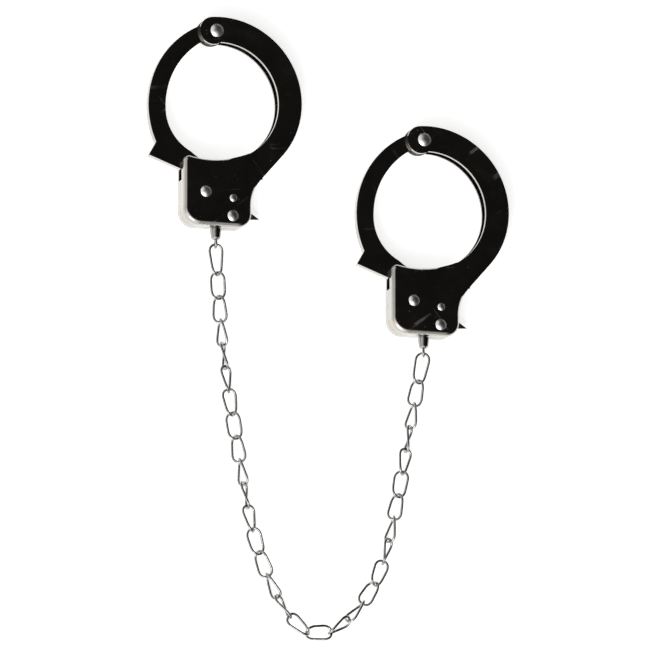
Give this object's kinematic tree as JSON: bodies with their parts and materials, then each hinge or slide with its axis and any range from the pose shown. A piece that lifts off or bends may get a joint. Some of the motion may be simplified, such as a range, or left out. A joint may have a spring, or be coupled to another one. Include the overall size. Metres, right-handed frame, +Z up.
{
  "type": "handcuffs",
  "caption": "Pair of ratchet handcuffs with side release levers and swivels, joined by a long chain of twisted oval links, laid out flat.",
  "frame": {"origin": "centre of the footprint, on the surface that the rear faces of both lock cases rest on", "axes": "+Z up from the surface, towards the riveted front faces; +Y along the cuffs, from the chain bight towards the pivots; +X from the left cuff to the right cuff"},
  "size_m": [0.189, 0.3133, 0.0147],
  "materials": {
    "pressed_shell": "polished nickel plate, lightly scratched",
    "swing_arm": "polished nickel plate",
    "rivets": "polished nickel plate",
    "swivel": "polished nickel plate",
    "chain_wire": "bright nickel-plated wire",
    "lock_steel": "blanked steel, satin",
    "spring_steel": "spring strip"
  },
  "bodies": {
    "left_case": {"left_front_shell": "pressed_shell", "left_rear_shell": "pressed_shell", "left_pivot_rivet": "rivets", "left_case_rivets": "rivets", "left_key_post": "rivets", "left_pawl_spring": "spring_steel"},
    "left_arm": {"left_swing_arm": "swing_arm"},
    "left_pawl": {"left_pawl": "lock_steel"},
    "left_lever": {"left_release_lever": "lock_steel"},
    "left_swivel": {"left_swivel": "swivel"},
    "right_case": {"right_front_shell": "pressed_shell", "right_rear_shell": "pressed_shell", "right_pivot_rivet": "rivets", "right_case_rivets": "rivets", "right_key_post": "rivets", "right_pawl_spring": "spring_steel"},
    "right_arm": {"right_swing_arm": "swing_arm"},
    "right_pawl": {"right_pawl": "lock_steel"},
    "right_lever": {"right_release_lever": "lock_steel"},
    "right_swivel": {"right_swivel": "swivel"},
    "link_01": {"link_01": "chain_wire"},
    "link_02": {"link_02": "chain_wire"},
    "link_03": {"link_03": "chain_wire"},
    "link_04": {"link_04": "chain_wire"},
    "link_05": {"link_05": "chain_wire"},
    "link_06": {"link_06": "chain_wire"},
    "link_07": {"link_07": "chain_wire"},
    "link_08": {"link_08": "chain_wire"},
    "link_09": {"link_09": "chain_wire"},
    "link_10": {"link_10": "chain_wire"},
    "link_11": {"link_11": "chain_wire"},
    "link_12": {"link_12": "chain_wire"},
    "link_13": {"link_13": "chain_wire"},
    "link_14": {"link_14": "chain_wire"},
    "link_15": {"link_15": "chain_wire"},
    "link_16": {"link_16": "chain_wire"},
    "link_17": {"link_17": "chain_wire"},
    "link_18": {"link_18": "chain_wire"},
    "link_19": {"link_19": "chain_wire"},
    "link_20": {"link_20": "chain_wire"},
    "link_21": {"link_21": "chain_wire"},
    "link_22": {"link_22": "chain_wire"},
    "link_23": {"link_23": "chain_wire"},
    "link_24": {"link_24": "chain_wire"},
    "link_25": {"link_25": "chain_wire"},
    "link_26": {"link_26": "chain_wire"},
    "link_27": {"link_27": "chain_wire"},
    "link_28": {"link_28": "chain_wire"},
    "link_29": {"link_29": "chain_wire"},
    "link_30": {"link_30": "chain_wire"},
    "link_31": {"link_31": "chain_wire"}
  },
  "joints": [
    {"name": "left_arm_swing", "type": "hinge", "parent": "left_case", "child": "left_arm", "pos_m": [-0.0592, 0.14956, 0.0068], "axis": [0, 0, -1], "range_deg": [-30, 180]},
    {"name": "left_lever_press", "type": "hinge", "parent": "left_case", "child": "left_lever", "pos_m": [-0.0516, 0.05446, 0.0068], "axis": [0, 0, 1], "range_deg": [0, 10], "stiffness_Nm_per_rad": 0.04, "deforming": ["left_pawl_spring"]},
    {"name": "left_pawl_lift", "type": "hinge", "parent": "left_case", "child": "left_pawl", "pos_m": [-0.0657, 0.06596, 0.0068], "axis": [0, 0, -1], "range_deg": [0, 8]},
    {"name": "right_arm_swing", "type": "hinge", "parent": "right_case", "child": "right_arm", "pos_m": [0.05, 0.10136, 0.0068], "axis": [0, 0, -1], "range_deg": [-30, 60]},
    {"name": "right_lever_press", "type": "hinge", "parent": "right_case", "child": "right_lever", "pos_m": [0.0576, 0.00626, 0.0068], "axis": [0, 0, 1], "range_deg": [0, 10], "stiffness_Nm_per_rad": 0.04, "deforming": ["right_pawl_spring"]},
    {"name": "right_pawl_lift", "type": "hinge", "parent": "right_case", "child": "right_pawl", "pos_m": [0.0435, 0.01776, 0.0068], "axis": [0, 0, -1], "range_deg": [0, 8]},
    {"name": "left_swivel_turn", "type": "hinge", "parent": "left_case", "child": "left_swivel", "pos_m": [-0.0586, 0.04866, 0.0068], "axis": [0, 1, 0], "continuous": true},
    {"name": "chain_bend_01", "type": "hinge", "parent": "left_swivel", "child": "link_01", "pos_m": [-0.0586, 0.03911, 0.0068], "axis": [-0.1588, 0, 0.9873], "range_deg": [-30, 30]},
    {"name": "chain_bend_02", "type": "hinge", "parent": "link_01", "child": "link_02", "pos_m": [-0.05759, 0.02659, 0.00621], "axis": [0.7646, 0.0294, 0.6439], "range_deg": [-25, 25]},
    {"name": "chain_bend_03", "type": "hinge", "parent": "link_02", "child": "link_03", "pos_m": [-0.05661, 0.01478, 0.00559], "axis": [-0.334, 0.0187, -0.9424], "range_deg": [-30, 30]},
    {"name": "chain_bend_04", "type": "hinge", "parent": "link_03", "child": "link_04", "pos_m": [-0.05537, 0.00148, 0.00489], "axis": [-0.9448, -0.0714, -0.3199], "range_deg": [-25, 25]},
    {"name": "chain_bend_05", "type": "hinge", "parent": "link_04", "child": "link_05", "pos_m": [-0.05426, -0.00881, 0.0043], "axis": [-0.6518, -0.0829, 0.7539], "range_deg": [-30, 30]},
    {"name": "chain_bend_06", "type": "hinge", "parent": "link_05", "child": "link_06", "pos_m": [-0.05278, -0.02057, 0.0043], "axis": [0.9373, 0.1374, -0.3203], "range_deg": [-25, 25]},
    {"name": "chain_bend_07", "type": "hinge", "parent": "link_06", "child": "link_07", "pos_m": [-0.05084, -0.03378, 0.0043], "axis": [0.3273, 0.048, -0.9437], "range_deg": [-30, 30]},
    {"name": "chain_bend_08", "type": "hinge", "parent": "link_07", "child": "link_08", "pos_m": [-0.04895, -0.04549, 0.0043], "axis": [-0.7547, -0.1214, 0.6448], "range_deg": [-25, 25]},
    {"name": "chain_bend_09", "type": "hinge", "parent": "link_08", "child": "link_09", "pos_m": [-0.04721, -0.05569, 0.0043], "axis": [0.2628, 0.0457, 0.9638], "range_deg": [-30, 30]},
    {"name": "chain_bend_10", "type": "hinge", "parent": "link_09", "child": "link_10", "pos_m": [-0.04492, -0.06885, 0.0043], "axis": [0.91, 0.1581, 0.3832], "range_deg": [-25, 25]},
    {"name": "chain_bend_11", "type": "hinge", "parent": "link_10", "child": "link_11", "pos_m": [-0.04291, -0.08053, 0.0043], "axis": [-0.5652, -0.0974, -0.8192], "range_deg": [-30, 30]},
    {"name": "chain_bend_12", "type": "hinge", "parent": "link_11", "child": "link_12", "pos_m": [-0.04108, -0.09073, 0.0043], "axis": [-0.9719, -0.2178, 0.0892], "range_deg": [-25, 25]},
    {"name": "chain_bend_13", "type": "hinge", "parent": "link_12", "child": "link_13", "pos_m": [-0.03816, -0.10376, 0.0043], "axis": [-0.5298, -0.1187, 0.8398], "range_deg": [-30, 30]},
    {"name": "chain_bend_14", "type": "hinge", "parent": "link_13", "child": "link_14", "pos_m": [-0.03474, -0.11511, 0.0043], "axis": [0.8918, 0.2646, -0.3669], "range_deg": [-25, 25]},
    {"name": "chain_bend_15", "type": "hinge", "parent": "link_14", "child": "link_15", "pos_m": [-0.03099, -0.12476, 0.0043], "axis": [0.2356, 0.1164, -0.9648], "range_deg": [-30, 30]},
    {"name": "chain_bend_16", "type": "hinge", "parent": "link_15", "child": "link_16", "pos_m": [-0.02582, -0.13544, 0.0043], "axis": [-0.6757, -0.4524, 0.582], "range_deg": [-25, 25]},
    {"name": "chain_bend_17", "type": "hinge", "parent": "link_16", "child": "link_17", "pos_m": [-0.01839, -0.14654, 0.0043], "axis": [-0.0349, -0.0234, 0.9991], "range_deg": [-30, 6]},
    {"name": "chain_bend_18", "type": "hinge", "parent": "link_17", "child": "link_18", "pos_m": [-0.01032, -0.1534, 0.0043], "axis": [-0.0545, 0.6912, 0.7206], "range_deg": [-25, 9]},
    {"name": "chain_bend_19", "type": "hinge", "parent": "link_18", "child": "link_19", "pos_m": [0.00164, -0.15285, 0.0043], "axis": [0.016, -0.0217, -0.9996], "range_deg": [-6, 30]},
    {"name": "chain_bend_20", "type": "hinge", "parent": "link_19", "child": "link_20", "pos_m": [0.01239, -0.14492, 0.0043], "axis": [0.4777, -0.6471, -0.5942], "range_deg": [-25, 25]},
    {"name": "chain_bend_21", "type": "hinge", "parent": "link_20", "child": "link_21", "pos_m": [0.01997, -0.13578, 0.0043], "axis": [-0.1368, 0.1167, 0.9837], "range_deg": [-30, 8]},
    {"name": "chain_bend_22", "type": "hinge", "parent": "link_21", "child": "link_22", "pos_m": [0.02531, -0.12689, 0.0043], "axis": [-0.7104, 0.2898, 0.6414], "range_deg": [-25, 25]},
    {"name": "chain_bend_23", "type": "hinge", "parent": "link_22", "child": "link_23", "pos_m": [0.02987, -0.11594, 0.0043], "axis": [0.0906, -0.0249, -0.9956], "range_deg": [-9, 30]},
    {"name": "chain_bend_24", "type": "hinge", "parent": "link_23", "child": "link_24", "pos_m": [0.0334, -0.10306, 0.0043], "axis": [0.8124, -0.2227, -0.5389], "range_deg": [-25, 25]},
    {"name": "chain_bend_25", "type": "hinge", "parent": "link_24", "child": "link_25", "pos_m": [0.03576, -0.09144, 0.0043], "axis": [-0.2493, 0.0517, 0.967], "range_deg": [-30, 30]},
    {"name": "chain_bend_26", "type": "hinge", "parent": "link_25", "child": "link_26", "pos_m": [0.03775, -0.08128, 0.0043], "axis": [-0.9094, 0.1718, 0.3786], "range_deg": [-25, 25]},
    {"name": "chain_bend_27", "type": "hinge", "parent": "link_26", "child": "link_27", "pos_m": [0.03995, -0.06964, 0.0043], "axis": [0.4961, -0.0878, -0.8638], "range_deg": [-30, 30]},
    {"name": "chain_bend_28", "type": "hinge", "parent": "link_27", "child": "link_28", "pos_m": [0.04228, -0.05649, 0.0043], "axis": [0.9757, -0.1727, -0.1349], "range_deg": [-25, 25]},
    {"name": "chain_bend_29", "type": "hinge", "parent": "link_28", "child": "link_29", "pos_m": [0.04416, -0.04478, 0.00496], "axis": [-0.701, 0.0755, 0.7092], "range_deg": [-30, 30]},
    {"name": "chain_bend_30", "type": "hinge", "parent": "link_29", "child": "link_30", "pos_m": [0.04576, -0.03455, 0.00551], "axis": [-0.9759, 0.1715, -0.1347], "range_deg": [-25, 25]},
    {"name": "chain_bend_31", "type": "hinge", "parent": "link_30", "child": "link_31", "pos_m": [0.04797, -0.02138, 0.00621], "axis": [-0.4892, 0.1285, -0.8626], "range_deg": [-30, 30]},
    {"name": "chain_bend_32", "type": "hinge", "parent": "link_31", "child": "right_swivel", "pos_m": [0.05075, -0.0076, 0.00683], "axis": [0.9044, -0.1976, 0.3783], "range_deg": [-25, 25]},
    {"name": "right_swivel_turn", "type": "hinge", "parent": "right_swivel", "child": "right_case", "pos_m": [0.0506, 0.00046, 0.0068], "axis": [0, 1, 0], "continuous": true}
  ],
  "couplings": [
    {"joint": "left_pawl_lift", "follows": "left_lever_press", "ratio": 0.76},
    {"joint": "right_pawl_lift", "follows": "right_lever_press", "ratio": 0.76}
  ]
}
